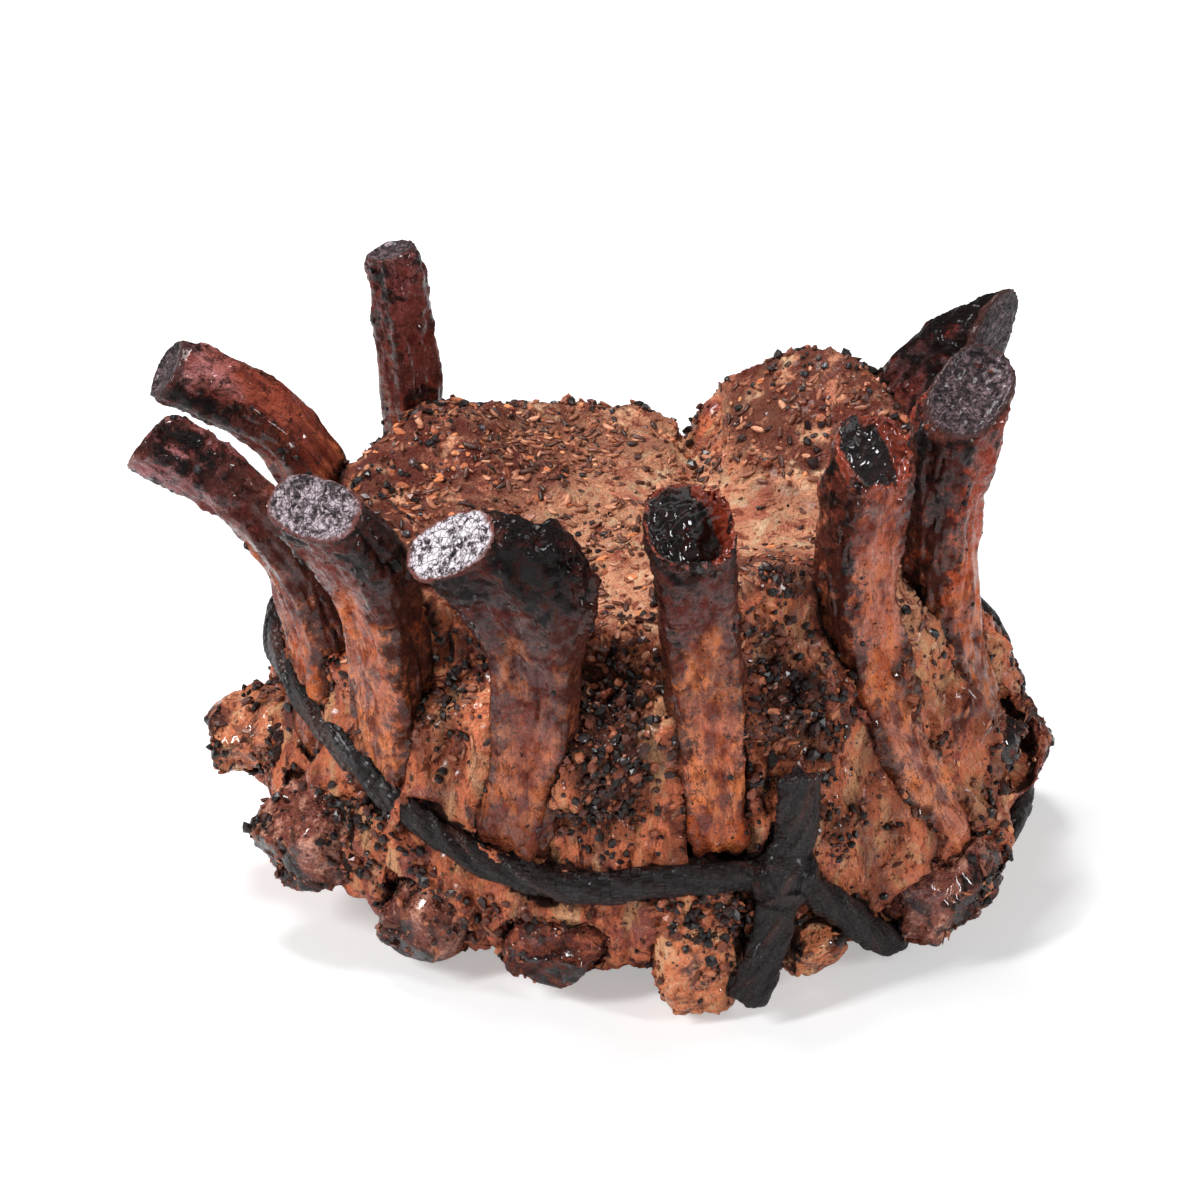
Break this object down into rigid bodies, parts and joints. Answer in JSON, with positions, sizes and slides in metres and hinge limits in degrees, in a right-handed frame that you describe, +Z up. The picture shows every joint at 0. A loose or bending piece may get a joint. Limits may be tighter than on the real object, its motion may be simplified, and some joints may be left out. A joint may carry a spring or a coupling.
{
  "type": "pork crown roast",
  "caption": "Roasted rack of pork ribs bent into a crown, bone tips up and out, spiced meat inside, split backbone round the foot and a casing tie round the waist.",
  "frame": {"origin": "middle of the flat foot that the roast stands on", "axes": "+Z up, +X towards the right of the front view, -Y towards the front, where the knot is"},
  "size_m": [0.2162, 0.1549, 0.1422],
  "materials": {
    "roasted_meat": "roasted, greasy, with a crust of cracked pepper and seeds",
    "browned_bone": "browned and charred bone with a glaze of fat",
    "knuckle_crust": "crusted split backbone, glazed",
    "dried_casing": "dark dried sausage casing, wrinkled"
  },
  "bodies": {
    "root": {"meat": "roasted_meat", "rib_1": "browned_bone", "rib_2": "browned_bone", "rib_3": "browned_bone", "rib_4": "browned_bone", "rib_5": "browned_bone", "rib_6": "browned_bone", "rib_7": "browned_bone", "rib_8": "browned_bone", "rib_9": "browned_bone", "knuckle_1": "knuckle_crust", "knuckle_2": "knuckle_crust", "knuckle_3": "knuckle_crust", "knuckle_4": "knuckle_crust", "knuckle_5": "knuckle_crust", "knuckle_6": "knuckle_crust", "knuckle_7": "knuckle_crust", "knuckle_8": "knuckle_crust", "knuckle_9": "knuckle_crust", "knuckle_10": "knuckle_crust", "knuckle_11": "knuckle_crust", "knuckle_12": "knuckle_crust", "knuckle_13": "knuckle_crust", "knuckle_14": "knuckle_crust", "tie": "dried_casing"}
  },
  "joints": []
}
